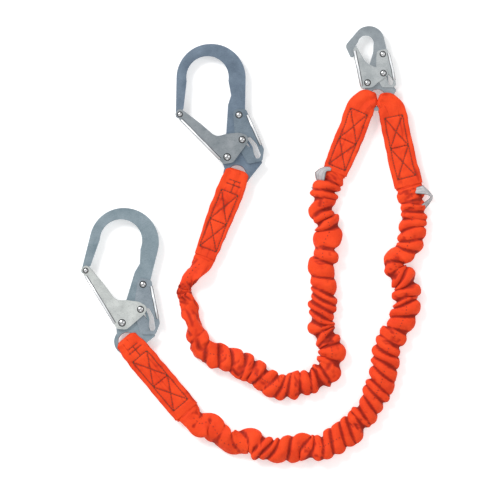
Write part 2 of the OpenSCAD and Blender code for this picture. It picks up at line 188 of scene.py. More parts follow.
# Label ribbon: fine ribs along it, a darker edge and a woven line inside each edge.
ribbonLook = {
    "dark": (0.34, 0.33, 0.34), "light": (0.52, 0.50, 0.51), "line": (0.45, 0.45, 0.46),
    "edge": (0.30, 0.28, 0.29), "width": 0.014, "rib": 0.0007, "roughness": 0.55,
}


def ribbonMaterial(name, look):
    material, tree, shader = newMaterial(name)
    halfWidth = look["width"] / 2
    place = addNode(tree, "ShaderNodeTexCoord").outputs["Object"]
    uv = addNode(tree, "ShaderNodeUVMap", uv_map="weave").outputs["UV"]
    split = addNode(tree, "ShaderNodeSeparateXYZ")
    tree.links.new(uv, split.inputs[0])
    ribs = addMath(tree, "SINE", addMath(tree, "MULTIPLY", split.outputs[1],
                                         2 * math.pi / look["rib"]))
    tone = addRamp(tree, addNoise(tree, place, 160, 3.0),
                   [(0.3, look["dark"]), (0.7, look["light"])])
    across = addMath(tree, "ABSOLUTE", addMath(tree, "SUBTRACT", split.outputs[0], halfWidth))
    edges = addRamp(tree, addMath(tree, "MULTIPLY", across, 1 / halfWidth),
                    [(0.30, (1, 1, 1)), (0.36, look["line"]), (0.42, (1, 1, 1)),
                     (0.80, (1, 1, 1)), (0.90, look["edge"])])
    colour = addMix(tree, 1.0, tone.outputs["Color"], edges.outputs["Color"], "MULTIPLY")
    tree.links.new(colour, shader.inputs["Base Color"])
    shader.inputs["Roughness"].default_value = look["roughness"]
    addBump(tree, shader, ribs, 0.4, 0.0001)
    return material


labelRibbon = ribbonMaterial("labelRibbon", ribbonLook)


# Zinc-plated steel: satin plate with faint roll lines, handling marks and darker, dull patches.
def steelMaterial(name, dark, light, metallic, shine, grainTurn):
    material, tree, shader = newMaterial(name)
    place = addNode(tree, "ShaderNodeTexCoord").outputs["Object"]
    mapping = addNode(tree, "ShaderNodeMapping",
                      {"Rotation": (0, 0, grainTurn), "Scale": (1, 9, 1)})
    tree.links.new(place, mapping.inputs["Vector"])
    grain = addNoise(tree, mapping.outputs["Vector"], 260, 4.0, 0.65)
    clouds = addNoise(tree, place, 42, 5.0, 0.6)
    specks = addNoise(tree, place, 520, 3.0, 0.7)
    tone = addRamp(tree, clouds, [(0.30, dark), (0.70, light)])
    marks = addRamp(tree, specks, [(0.30, (0.70, 0.70, 0.70)), (0.46, (1, 1, 1))])
    colour = addMix(tree, 0.75, tone.outputs["Color"], marks.outputs["Color"], "MULTIPLY")
    streaks = addRamp(tree, grain, [(0.36, (0.86, 0.86, 0.86)), (0.60, (1.04, 1.04, 1.04))])
    colour = addMix(tree, 1.0, colour, streaks.outputs["Color"], "MULTIPLY")
    tree.links.new(colour, shader.inputs["Base Color"])
    shader.inputs["Metallic"].default_value = metallic
    polish = addNode(tree, "ShaderNodeMapRange", {"To Min": shine[0], "To Max": shine[1]})
    tree.links.new(clouds, polish.inputs["Value"])
    tree.links.new(polish.outputs["Result"], shader.inputs["Roughness"])
    first = addBump(tree, shader, grain, 0.10, 0.0006)
    addBump(tree, shader, specks, 0.14, 0.0005, first)
    return material


# Darker and lighter tone, share of metal, least and most roughness, and the turn of the grain.
steelLooks = {
    "forgedSteelA": ((0.16, 0.216, 0.288), (0.236, 0.306, 0.39), 0.8, (0.34, 0.56), 0.4),
    "forgedSteelB": ((0.255, 0.34, 0.39), (0.36, 0.44, 0.49), 0.8, (0.34, 0.56), 0.2),
    "snapSteel": ((0.31, 0.352, 0.388), (0.45, 0.5, 0.53), 0.8, (0.32, 0.52), -0.2),
    "gateSteelA": ((0.25, 0.288, 0.312), (0.37, 0.4, 0.425), 0.75, (0.36, 0.58), 0.8),
    "leverSteelA": ((0.172, 0.228, 0.282), (0.26, 0.322, 0.38), 0.8, (0.36, 0.56), 1.1),
    "gateSteelB": ((0.54, 0.57, 0.56), (0.72, 0.75, 0.73), 0.7, (0.36, 0.58), 0.8),
    "leverSteelB": ((0.29, 0.35, 0.4), (0.4, 0.46, 0.51), 0.85, (0.36, 0.56), 1.1),
    "snapPlateSteel": ((0.45, 0.49, 0.505), (0.62, 0.65, 0.655), 0.75, (0.34, 0.54), 0.5),
    "rivetSteel": ((0.5, 0.51, 0.52), (0.72, 0.73, 0.74), 1.0, (0.24, 0.34), 0.0),
    # A dark colour for the painted shadow rings round the rivet heads.
    "grimySteel": ((0.02, 0.022, 0.026), (0.045, 0.048, 0.052), 0.4, (0.5, 0.7), 0.0),
    # Painted shadow line and painted highlight for the rounded edges.
    "paintedShadowEdge": ((0.04, 0.048, 0.058), (0.11, 0.125, 0.14), 0.6, (0.35, 0.5), 0.0),
    "paintedHighlightEdge": ((0.4, 0.46, 0.52), (0.64, 0.7, 0.76), 0.6, (0.3, 0.45), 0.0),
    "springSteel": ((0.2, 0.2, 0.21), (0.33, 0.33, 0.34), 1.0, (0.25, 0.4), 0.0),
}
steels = {name: steelMaterial(name, *look) for name, look in steelLooks.items()}
print("materials made")


# The steel parts keep their own shapes, with worked edges; the bodies' rounded edges carry a
# painted highlight, those of the gates and levers a painted shadow line.
edgeSettings = {"body": 0.0013, "gate": 0.00095, "lever": 0.00095, "sharpest": 38, "weld": 0.00001}
hookSteels = {
    "hook_a": ("forgedSteelA", "gateSteelA", "leverSteelA"),
    "hook_b": ("forgedSteelB", "gateSteelB", "leverSteelB"),
    "snap": ("snapSteel", "snapPlateSteel", "snapPlateSteel"),
}


def dressNode(nodeName, material, edge=0.0, edgeMaterial=None):
    part = bpy.data.objects[nodeName]
    part.data.materials.clear()
    part.data.materials.append(material)
    if edge:
        part.data.materials.append(edgeMaterial)
        weld = part.modifiers.new("joinCorners", "WELD")
        weld.merge_threshold = edgeSettings["weld"]
        rounding = part.modifiers.new("workedEdge", "BEVEL")
        rounding.width = edge
        rounding.segments = 2
        rounding.limit_method = "ANGLE"
        rounding.angle_limit = math.radians(edgeSettings["sharpest"])
        rounding.harden_normals = True
        rounding.material = 1


for hookName, (bodySteel, gateSteel, leverSteel) in hookSteels.items():
    dressNode(hookName + "_body", steels[bodySteel], edgeSettings["body"], steels["paintedHighlightEdge"])
    dressNode(hookName + "_gate", steels[gateSteel], edgeSettings["gate"], steels["paintedShadowEdge"])
    dressNode(hookName + "_lever", steels[leverSteel], edgeSettings["lever"], steels["paintedShadowEdge"])
    for small in ("gate_rivet", "lever_rivet", "lock_pin", "nose_pin"):  # the snap has no nose pin
        if hookName + "_" + small in bpy.data.objects:
            dressNode(hookName + "_" + small, steels["rivetSteel"])
    for wire in ("gate_spring", "lever_spring"):
        dressNode(hookName + "_" + wire, steels["springSteel"])
print("steel parts dressed")


# A smooth line through points, cut into even steps, and its length.
def smoothLine(points, step):
    corners = [Vector((x, y)) for x, y in points]
    last = len(corners) - 1
    fine, cuts = [], 24
    for k in range(last * cuts + 1):
        i = min(k // cuts, last - 1)
        f = k / cuts - i
        a, b, c, d = (corners[max(i - 1, 0)], corners[i], corners[i + 1], corners[min(i + 2, last)])
        fine.append(0.5 * (2 * b + (c - a) * f + (2 * a - 5 * b + 4 * c - d) * f * f
                           + (3 * b - a - 3 * c + d) * f ** 3))
    reach = [0.0]
    for a, b in zip(fine, fine[1:]):
        reach.append(reach[-1] + (b - a).length)
    count = max(2, round(reach[-1] / step))
    line, j = [], 0
    for i in range(count + 1):
        s = reach[-1] * i / count
        while j < len(reach) - 2 and reach[j + 1] < s:
            j += 1
        f = (s - reach[j]) / max(reach[j + 1] - reach[j], 1e-9)
        line.append(fine[j].lerp(fine[j + 1], f))
    return line, reach[-1]


def pointOn(line, length, s):
    t = min(max(s / length, 0.0), 1.0) * (len(line) - 1)
    i = min(int(t), len(line) - 2)
    return line[i].lerp(line[i + 1], t - i)


def aheadOn(line, length, s, reach=0.007):
    return (pointOn(line, length, s + reach) - pointOn(line, length, s - reach)).normalized()


def between(stops, x):
    if x <= stops[0][0]:
        return stops[0][1]
    for (x0, y0), (x1, y1) in zip(stops, stops[1:]):
        if x <= x1:
            return y0 + (y1 - y0) * (x - x0) / (x1 - x0)
    return stops[-1][1]


def finishPiece(piece, material, body, smooth=True):
    scene.collection.objects.link(piece)
    piece.data.materials.clear()
    piece.data.materials.append(material)
    if smooth:
        piece.data.shade_smooth()
    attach(piece, body)
    return piece


def meshPiece(name, bm):
    mesh = bpy.data.meshes.new(name)
    bm.to_mesh(mesh)
    bm.free()
    return bpy.data.objects.new(name, mesh)


def thicken(piece, word, thickness):
    wall = piece.modifiers.new(word, "SOLIDIFY")
    wall.thickness = thickness
    wall.offset = 0


def soften(piece, word):
    rounding = piece.modifiers.new(word, "SUBSURF")
    rounding.levels = rounding.render_levels = 1


# A flat grid, with its weave laid out to its real size.
def wovenGrid(bm, rows, columns, width, length):
    uvLayer = bm.loops.layers.uv.new("weave")
    bmesh.ops.create_grid(bm, x_segments=rows, y_segments=columns, size=0.5)
    for face in bm.faces:
        for loop in face.loops:
            at = loop.vert.co
            loop[uvLayer].uv = ((at.y + 0.5) * width, (at.x + 0.5) * length)


# Rolled folds along the outer edges of the gates and levers, with a painted highlight on top and
# painted shade where they meet the plate. Points are in each hook's own frame, with the plate on
# the right of the line.
foldLook = {
    # bright is a painted highlight along the top of each fold and edge a painted shade along its
    # rims; the noise amount breaks both up.
    "bright": (0.86, 0.88, 0.90), "edge": (0.035, 0.040, 0.048),
    "metallic": 0.35, "roughness": 0.32, "mottle": 0.16,
}
foldProfile = [  # inwards, above the plate, how much painted shade
    (0.0002, -0.0040, 1.0), (-0.0004, -0.0024, 1.0), (-0.0006, -0.0009, 0.9),
    (-0.0002, 0.0002, 0.45), (0.0008, 0.0007, 0.0), (0.0018, 0.0009, 0.0), (0.0028, 0.0007, 0.05),
    (0.0035, 0.0003, 0.8), (0.0042, 0.0001, 1.0), (0.0042, -0.0006, 1.0), (0.0008, -0.0042, 1.0)]
rolledFolds = [  # the hooks that have it, the part, how far it rises of the profile, its line
    (("hook_a", "hook_b"), "gate", 1.0, [(-0.0286, 0.0239), (-0.0924, 0.0889)]),
    (("hook_a", "hook_b"), "lever", 0.15, [(0.0193, 0.0985), (0.0416, 0.0490)]),
    (("snap",), "gate", 1.0, [(-0.0224, 0.0250), (-0.0206, 0.0840)]),
    (("snap",), "lever", 0.15, [(0.0364, 0.0680), (0.0366, 0.0400), (0.0356, 0.0220)]),
]  # a lever's fold stays low, because the gate passes close above it
hookPlaces = {
    "hook_a": ((-0.032, 0.082), 0), "hook_b": ((-0.212, -0.194), -13), "snap": ((0.200, 0.208), 13),
}


def foldMaterial():
    material, tree, shader = newMaterial("rolledFold")
    place = addNode(tree, "ShaderNodeTexCoord").outputs["Object"]
    rim = addNode(tree, "ShaderNodeAttribute", attribute_name="rim")
    mottle = addMath(tree, "MULTIPLY", addNoise(tree, place, 240, 3.0), foldLook["mottle"])
    mottledShade = addMath(tree, "ADD", rim.outputs["Fac"], mottle)
    # Painted highlight on the fold's top, painted shade towards its rims.
    tone = addRamp(tree, mottledShade, [(0.12, foldLook["bright"]), (0.75, foldLook["edge"])])
    tree.links.new(tone.outputs["Color"], shader.inputs["Base Color"])
    shader.inputs["Metallic"].default_value = foldLook["metallic"]
    shader.inputs["Roughness"].default_value = foldLook["roughness"]
    addBump(tree, shader, addNoise(tree, place, 700, 2.0), 0.1, 0.0002)
    return material


highlightFoldSteel = foldMaterial()


def makeFold(hookName, part, rise, points):
    (px, py), turn = hookPlaces[hookName]
    turn = math.radians(turn)
    line = [Vector((px + x * math.cos(turn) - y * math.sin(turn),
                    py + x * math.sin(turn) + y * math.cos(turn))) for x, y in points]
    plate = bpy.data.objects[hookName + "_" + part].data
    reach = max(vert.co.z for vert in plate.vertices) - midHeight
    for face, word in ((1, "Top"), (-1, "Under")):
        bm = bmesh.new()
        rim = bm.verts.layers.float.new("rim")
        rings = []
        for i, point in enumerate(line):
            ahead = (line[min(i + 1, len(line) - 1)] - line[max(i - 1, 0)]).normalized()
            inwards = Vector((ahead.y, -ahead.x))
            ring = []
            for d, up, dark in foldProfile:
                flat = point + inwards * d
                height = reach + (up * rise if up > 0 else up)
                vert = bm.verts.new((flat.x, flat.y, midHeight + face * height))
                vert[rim] = dark
                ring.append(vert)
            rings.append(ring)
        count = len(foldProfile)
        for a, b in zip(rings, rings[1:]):
            for k in range(count):
                bm.faces.new((a[k], a[(k + 1) % count], b[(k + 1) % count], b[k]))
        bm.faces.new(rings[0][::-1])
        bm.faces.new(rings[-1])
        bmesh.ops.recalc_face_normals(bm, faces=bm.faces)
        name = hookName + "_" + part + "Fold" + word
        finishPiece(meshPiece(name, bm), highlightFoldSteel, hookName + "_" + part + "_body")


for hookNames, part, rise, points in rolledFolds:
    for hookName in hookNames:
        makeFold(hookName, part, rise, points)


# Painted shadow: dark rings round the rivet heads.
rimSettings = {
    "inset": 0.0004, "reach": 0.0011, "height": 0.0004, "headHeight": 0.0022, "gap": 0.0001,
    "around": 28,
}
rivetBodies = {"gate_rivet": "frame", "lever_rivet": "frame", "lock_pin": "gate_body",
               "nose_pin": "gate_body"}


def makeRivetShadows(hookName, small, body):
    points = [vert.co for vert in bpy.data.objects[hookName + "_" + small].data.vertices]
    middle = Vector((sum(f(p.x for p in points) for f in (min, max)) / 2,
                     sum(f(p.y for p in points) for f in (min, max)) / 2))
    radius = max((p.xy - middle).length for p in points)
    low = max(p.z for p in points) - midHeight - rimSettings["headHeight"] + rimSettings["gap"]
    high, inside = low + rimSettings["height"], radius - rimSettings["inset"]
    corners = [(inside, low), (radius + rimSettings["reach"], low),
               (radius + rimSettings["reach"] * 0.6, high), (inside, high)]
    for face, word in ((1, "Top"), (-1, "Under")):
        bm = bmesh.new()
        verts = [bm.verts.new((middle.x + r, middle.y, midHeight + face * z)) for r, z in corners]
        edges = [bm.edges.new(pair) for pair in zip(verts, verts[1:] + verts[:1])]
        bmesh.ops.spin(bm, geom=verts + edges, cent=(middle.x, middle.y, midHeight), axis=(0, 0, 1),
                       angle=2 * math.pi, steps=rimSettings["around"], use_merge=True)
        bmesh.ops.recalc_face_normals(bm, faces=bm.faces)
        finishPiece(meshPiece(hookName + "_" + small + "ShadowRim" + word, bm), steels["grimySteel"],
                    hookName + "_" + body, smooth=False)


for hookName in hookSteels:
    for small, body in rivetBodies.items():
        if hookName + "_" + small in bpy.data.objects:
            makeRivetShadows(hookName, small, body)
print("folds and rivet rims made")


def gridTube(bm, rings, around, girth, length):
    ringLayer = bm.verts.layers.int.new("ring")
    columnLayer = bm.verts.layers.int.new("column")
    wovenGrid(bm, rings, around, girth, length)
    for vert in bm.verts:
        vert[ringLayer] = round((vert.co.x + 0.5) * rings)
        vert[columnLayer] = round((vert.co.y + 0.5) * around) % around
    return ringLayer, columnLayer


# Gathered jackets: a flat tube of webbing pushed up into folds over its core.
# neck is half the width and height between folds, and the swells are what a fold adds to them.
jacketSettings = {
    "ringStep": 0.0038, "around": 24, "flatWidth": 0.046, "wall": 0.0009,
    "neck": (0.0125, 0.0035), "sideSwell": (0.0045, 0.0125), "topSwell": (0.0055, 0.0095),
    "smoothSwell": (0.004, 0.001), "evenSwell": 0.003, "foldLength": (0.0115, 0.0235),
    "slant": 0.0095, "notch": 0.0026, "ripple": 0.0007, "lowest": 0.002, "furthest": 0.0235,
    "pressed": 0.8, "tuck": 0.007,
}
# gather is how much longer the fabric is than the leg, and tilt is its twist in degrees, both at
# shares of the leg's length. A big fold is its share, side, reach and span.
legs = {
    "leg_a": {
        "route": [
            (0.129, 0.0825), (0.118, 0.066), (0.111, 0.042), (0.110, 0.018), (0.120, -0.008),
            (0.116, -0.030), (0.113, -0.052), (0.109, -0.076), (0.112, -0.098), (0.110, -0.122),
            (0.108, -0.147), (0.106, -0.168), (0.114, -0.184), (0.124, -0.202), (0.125, -0.222),
            (0.116, -0.244), (0.098, -0.258), (0.070, -0.266), (0.044, -0.271), (0.020, -0.262),
            (-0.004, -0.245), (-0.028, -0.230), (-0.056, -0.224), (-0.078, -0.218),
            (-0.093, -0.202), (-0.098, -0.180), (-0.105, -0.156), (-0.112, -0.132),
            (-0.118, -0.112), (-0.112, -0.092), (-0.096, -0.076), (-0.0855, -0.057)],
        "gather": [(0.0, 1.3), (0.05, 1.5), (0.12, 1.55), (0.15, 1.25), (0.20, 1.35), (0.24, 1.6),
                   (0.60, 1.6), (0.66, 1.55), (0.76, 1.4), (0.80, 1.1), (0.98, 1.04), (1.0, 1.02)],
        "tilt": [(0.0, 0), (0.14, -10), (0.18, 35), (0.22, 0), (0.62, 0), (0.70, 30), (0.76, -25),
                 (0.80, 40), (0.835, 52), (0.875, -50), (0.915, 52), (0.955, -40), (0.99, 0)],
        "bigFolds": [(0.725, -1, 0.010, 0.011), (0.655, 1, 0.006, 0.012), (0.455, 1, 0.005, 0.010)],
        "tuckedHalf": 0.0045, "seed": 11,
    },
    "leg_b": {
        "route": [
            (0.253, 0.0595), (0.259, 0.038), (0.260, 0.016), (0.257, -0.004), (0.257, -0.024),
            (0.250, -0.042), (0.235, -0.053), (0.227, -0.067), (0.231, -0.079), (0.242, -0.090),
            (0.249, -0.104), (0.248, -0.122), (0.247, -0.145), (0.237, -0.167), (0.229, -0.180),
            (0.219, -0.195), (0.213, -0.213), (0.212, -0.231), (0.208, -0.248), (0.203, -0.267),
            (0.195, -0.286), (0.185, -0.306), (0.172, -0.325), (0.155, -0.341), (0.131, -0.358),
            (0.107, -0.371), (0.086, -0.372), (0.070, -0.367), (0.050, -0.373), (0.028, -0.376),
            (0.006, -0.368), (-0.014, -0.358), (-0.036, -0.363), (-0.053, -0.358),
            (-0.066, -0.343), (-0.078, -0.330), (-0.092, -0.333), (-0.102, -0.323),
            (-0.1125, -0.3115)],
        "gather": [(0.0, 1.3), (0.04, 1.6), (0.11, 1.6), (0.14, 1.35), (0.22, 1.4), (0.25, 1.6),
                   (0.60, 1.6), (0.64, 1.5), (0.70, 1.35), (0.76, 1.6), (0.80, 1.6), (0.84, 1.25),
                   (0.93, 1.2), (1.0, 1.15)],
        "tilt": [(0.0, 0), (0.13, 0), (0.16, 30), (0.20, -25), (0.24, 0), (0.62, 0), (0.68, 25),
                 (0.75, -15), (0.83, 20), (0.88, -35), (0.94, 30), (1.0, 0)],
        "bigFolds": [(0.60, 1, 0.008, 0.010), (0.685, -1, 0.006, 0.012), (0.47, 1, 0.006, 0.009)],
        "tuckedHalf": 0.0075, "seed": 23,
    },
}


# The route with both ends taken further, into the sewn ends.
def tucked(route, reach):
    (x0, y0), (x1, y1), (x2, y2), (x3, y3) = route[0], route[1], route[-2], route[-1]
    first, last = reach / math.dist(route[0], route[1]), reach / math.dist(route[-2], route[-1])
    return ([(x0 + (x0 - x1) * first, y0 + (y0 - y1) * first)] + route[1:-1]
            + [(x3 + (x3 - x2) * last, y3 + (y3 - y2) * last)])


def foldList(rng, length, gather):
    folds, s, lean = [], 0.0, 0.3
    while s < length:
        loose = 1.6 / between(gather, s / length)  # slack stretches have longer folds
        size = rng.uniform(*jacketSettings["foldLength"]) * loose ** 1.4
        side, top = jacketSettings["sideSwell"], jacketSettings["topSwell"]
        folds.append({"start": s, "size": size, "left": rng.uniform(*side),
                      "right": rng.uniform(*side), "top": rng.uniform(*top),
                      "under": rng.uniform(*top), "slant": lean})
        lean = min(1.0, max(-1.0, lean + rng.uniform(-1.1, 1.1)))  # neighbours lean alike
        s += size
    return folds


# How far a fold swells the side and the top at a point, and how far off the next crease is.
def swellAt(folds, s, u, w):
    for fold in folds:
        at = s + u * jacketSettings["slant"] * fold["slant"] + w * 0.003 * fold["slant"]
        if at < fold["start"] + fold["size"]:
            break
    t = min(max((at - fold["start"]) / fold["size"], 0.0), 1.0)
    lobe = math.sin(math.pi * t) ** 0.55
    return ((0.08 + 0.92 * lobe) * (fold["right"] if u > 0 else fold["left"]),
            lobe * (fold["top"] if w > 0 else fold["under"]),
            min(t, 1 - t) * fold["size"])


def makeJacket(legName, leg):
    line, length = smoothLine(tucked(leg["route"], jacketSettings["tuck"]), 0.001)
    step, around = jacketSettings["ringStep"], jacketSettings["around"]
    places = [0.0]
    while places[-1] < length:
        places.append(places[-1] + step / between(leg["gather"], places[-1] / length))
    rings = len(places) - 1
    places = [s * length / places[-1] for s in places]
    fabric = rings * step
    rng = random.Random(leg["seed"])
    folds = foldList(rng, length, leg["gather"])

    bm = bmesh.new()
    restLayer = bm.verts.layers.float_vector.new("rest")
    notchLayer = bm.verts.layers.float.new("notch")
    ringLayer, columnLayer = gridTube(bm, rings, around, 2 * jacketSettings["flatWidth"], fabric)
    neckW, neckH = jacketSettings["neck"]
    smoothSide, smoothTop = jacketSettings["smoothSwell"]
    for vert in bm.verts:
        ring, column = vert[ringLayer], vert[columnLayer]
        angle = 2 * math.pi * column / around
        u, w = math.cos(angle), math.sin(angle)
        s = places[ring]
        share = s / length
        gather = between(leg["gather"], share)
        centre, ahead = pointOn(line, length, s), aheadOn(line, length, s)
        side = Vector((-ahead.y, ahead.x))
        sideSwell, topSwell, gap = swellAt(folds, s, u, w)
        full = between([(1.08, 0.0), (1.35, 1.0)], gather)  # none on smooth, twisted stretches
        sideSwell = smoothSide + (sideSwell - smoothSide) * full
        topSwell = smoothTop + (topSwell - smoothTop) * full
        ends = min(max(0.0, min(ring - 2, rings - 2 - ring)) / 4, 1.0)
        swell = (jacketSettings["evenSwell"] + sideSwell) * ends
        halfW = neckW + swell + (1 - ends) * leg["tuckedHalf"]
        halfH = neckH + topSwell * ends + (1 - ends) * 0.0005
        for at, way, out, span in leg["bigFolds"]:
            near = math.exp(-((s - at * length) / span) ** 2)
            halfW += out * near * max(0.0, u * way)
        tilt = math.radians(between(leg["tilt"], share)) * ends
        ripple = noise.noise(Vector((s * 160, u * 2.5, w * 2.5 + leg["seed"])))
        ripple *= jacketSettings["ripple"]
        x, z = u * (halfW + ripple), w * (halfH + ripple)
        x, z = x * math.cos(tilt) - z * math.sin(tilt), x * math.sin(tilt) + z * math.cos(tilt)
        flat = centre + side * x
        # How near each point lies to the notch between two folds, used below for painted shade.
        vert[notchLayer] = (max(0.0, 1 - gap / jacketSettings["notch"])
                            * between([(1.05, 0.2), (1.4, 1.0)], gather))
        vert[restLayer] = (ring * step, u * jacketSettings["flatWidth"] / 2 * 0.97, w * 0.006)
        vert.co = (flat.x, flat.y, max(jacketSettings["lowest"], midHeight + z))
    bmesh.ops.remove_doubles(bm, verts=bm.verts, dist=1e-6)
    bmesh.ops.recalc_face_normals(bm, faces=bm.faces)
    jacket = meshPiece(legName + "_jacketCloth", bm)
    settleJacket(jacket, line, length, rings, leg)
    furthest = jacketSettings["furthest"]
    for vert, item in zip(jacket.data.vertices, jacket.data.attributes["ring"].data):
        centre = pointOn(line, length, places[item.value])
        away = vert.co - Vector((centre.x, centre.y, midHeight))
        if away.length > furthest:  # the fullest folds are pressed back a little
            vert.co -= away.normalized() * (away.length - furthest) * jacketSettings["pressed"]
    return jacket, line, length, rings, places


# The folds settle as cloth, over the core and on the surface, with both ends held.
clothSettings = {
    "frames": 30, "quality": 6, "stiffness": 60, "shear": 10, "bending": 2.5, "mass": 0.1,
    "weight": 0.15, "damping": 5, "shearDamping": 3, "bendingDamping": 0.5, "gap": 0.0012,
    "coreStep": 0.006, "coreAround": 12, "coreHalf": (0.0105, 0.0036), "coreFriction": 8,
    "groundFriction": 5, "skin": 0.001,
}


def settleJacket(jacket, line, length, rings, leg):
    mesh = jacket.data
    scene.collection.objects.link(jacket)
    rest = [tuple(item.vector) for item in mesh.attributes["rest"].data]
    ringOf = [item.value for item in mesh.attributes["ring"].data]
    jacket.shape_key_add(name="Basis")
    restKey = jacket.shape_key_add(name="Rest")
    for point, at in zip(restKey.data, rest):
        point.co = at
    held = jacket.vertex_groups.new(name="held")
    held.add([i for i, ring in enumerate(ringOf) if ring < 3 or ring > rings - 3], 1, "REPLACE")

    bm = bmesh.new()
    coreRings, coreAround = round(length / clothSettings["coreStep"]), clothSettings["coreAround"]
    coreHalfW, coreHalfH = clothSettings["coreHalf"]
    bmesh.ops.create_grid(bm, x_segments=coreRings, y_segments=coreAround, size=0.5)
    for vert in bm.verts:
        s = (vert.co.x + 0.5) * length
        angle = 2 * math.pi * (round((vert.co.y + 0.5) * coreAround) % coreAround) / coreAround
        centre, ahead = pointOn(line, length, s), aheadOn(line, length, s)
        tilt = math.radians(between(leg["tilt"], s / length))
        x, z = coreHalfW * math.cos(angle), coreHalfH * math.sin(angle)
        x, z = x * math.cos(tilt) - z * math.sin(tilt), x * math.sin(tilt) + z * math.cos(tilt)
        flat = centre + Vector((-ahead.y, ahead.x)) * x
        vert.co = (flat.x, flat.y, midHeight + z)
    bmesh.ops.remove_doubles(bm, verts=bm.verts, dist=1e-6)
    bmesh.ops.recalc_face_normals(bm, faces=bm.faces)
    former = meshPiece("coreFormer", bm)
    bm = bmesh.new()
    bmesh.ops.create_grid(bm, x_segments=1, y_segments=1, size=1.0)
    ground = meshPiece("groundFormer", bm)
    for helper, friction in ((former, "coreFriction"), (ground, "groundFriction")):
        scene.collection.objects.link(helper)
        helper.modifiers.new("touch", "COLLISION")
        helper.collision.thickness_outer = clothSettings["skin"]
        helper.collision.cloth_friction = clothSettings[friction]

    cloth = jacket.modifiers.new("settle", "CLOTH")
    values = cloth.settings
    values.quality = clothSettings["quality"]
    values.mass = clothSettings["mass"]
    values.air_damping = 1
    values.tension_stiffness = values.compression_stiffness = clothSettings["stiffness"]
    values.shear_stiffness = clothSettings["shear"]
    values.bending_stiffness = clothSettings["bending"]
    values.tension_damping = values.compression_damping = clothSettings["damping"]
    values.shear_damping = clothSettings["shearDamping"]
    values.bending_damping = clothSettings["bendingDamping"]
    values.vertex_group_mass = "held"
    values.rest_shape_key = restKey
    values.effector_weights.gravity = clothSettings["weight"]
    cloth.collision_settings.use_collision = True
    cloth.collision_settings.distance_min = clothSettings["gap"]
    cloth.collision_settings.use_self_collision = False
    frames = clothSettings["frames"]
    cloth.point_cache.frame_start, cloth.point_cache.frame_end = 1, frames
    scene.frame_start, scene.frame_end = 1, frames
    for step in range(1, frames + 1):
        scene.frame_set(step)
    settled = jacket.evaluated_get(bpy.context.evaluated_depsgraph_get())
    places = [vert.co.copy() for vert in settled.data.vertices]
    jacket.modifiers.remove(cloth)
    jacket.shape_key_clear()
    for vert, at in zip(mesh.vertices, places):
        vert.co = at
    mesh.update()
    for helper in (former, ground):
        bpy.data.objects.remove(helper)
    scene.collection.objects.unlink(jacket)
    scene.frame_set(1)


# One stitch is made once, and set down along the seam again and again.
def stitchesPiece(name, places, material, size):
    one = bmesh.new()
    bmesh.ops.create_uvsphere(one, u_segments=8, v_segments=5, radius=0.5)
    bmesh.ops.rotate(one, verts=one.verts, cent=(0, 0, 0),
                     matrix=Matrix.Rotation(math.pi / 2, 3, "Y"))
    bmesh.ops.scale(one, verts=one.verts, vec=size)
    stitch = bpy.data.meshes.new("stitch")
    one.to_mesh(stitch)
    one.free()
    bm = bmesh.new()
    for at, along, up in places:
        along = along.normalized()
        side = up.cross(along).normalized()
        turn = Matrix((along, side, along.cross(side))).transposed().to_4x4()
        turn.translation = at
        stitch.transform(turn)
        bm.from_mesh(stitch)
        stitch.transform(turn.inverted())
    bpy.data.meshes.remove(stitch)
    return finishPiece(meshPiece(name, bm), material, "webbing")


# How deep each point lies in a crease, from how its neighbours stand above it, stored as painted
# crease shade together with any extra painted shade.
def markCreaseShade(mesh, reach, extraShade=None):
    near = [[] for vert in mesh.vertices]
    for edge in mesh.edges:
        a, b = edge.vertices
        near[a].append(b)
        near[b].append(a)
    deep = []
    for vert, others in zip(mesh.vertices, near):
        middle = sum((mesh.vertices[i].co for i in others), Vector()) / max(len(others), 1)
        deep.append(max(0.0, (middle - vert.co).dot(vert.normal)) / reach)
    deep = [0.55 * d + 0.45 * sum(deep[i] for i in others) / max(len(others), 1)
            for d, others in zip(deep, near)]
    layer = mesh.attributes.new("creaseShade", "FLOAT", "POINT")
    for item, d, more in zip(layer.data, deep, extraShade or [0.0] * len(deep)):
        item.value = min(1.0, d + more)


# A seam runs along the middle of both faces, and dips out of sight in some folds.
seamSettings = {
    "stitch": (0.0022, 0.0012, 0.0009), "lift": 0.0007, "every": 2, "skipped": 4,
    "shortest": 0.0008, "dipRate": 0.075, "dipLevel": -0.08, "creaseDepth": 0.0013,
    "notchShade": 0.62,
}

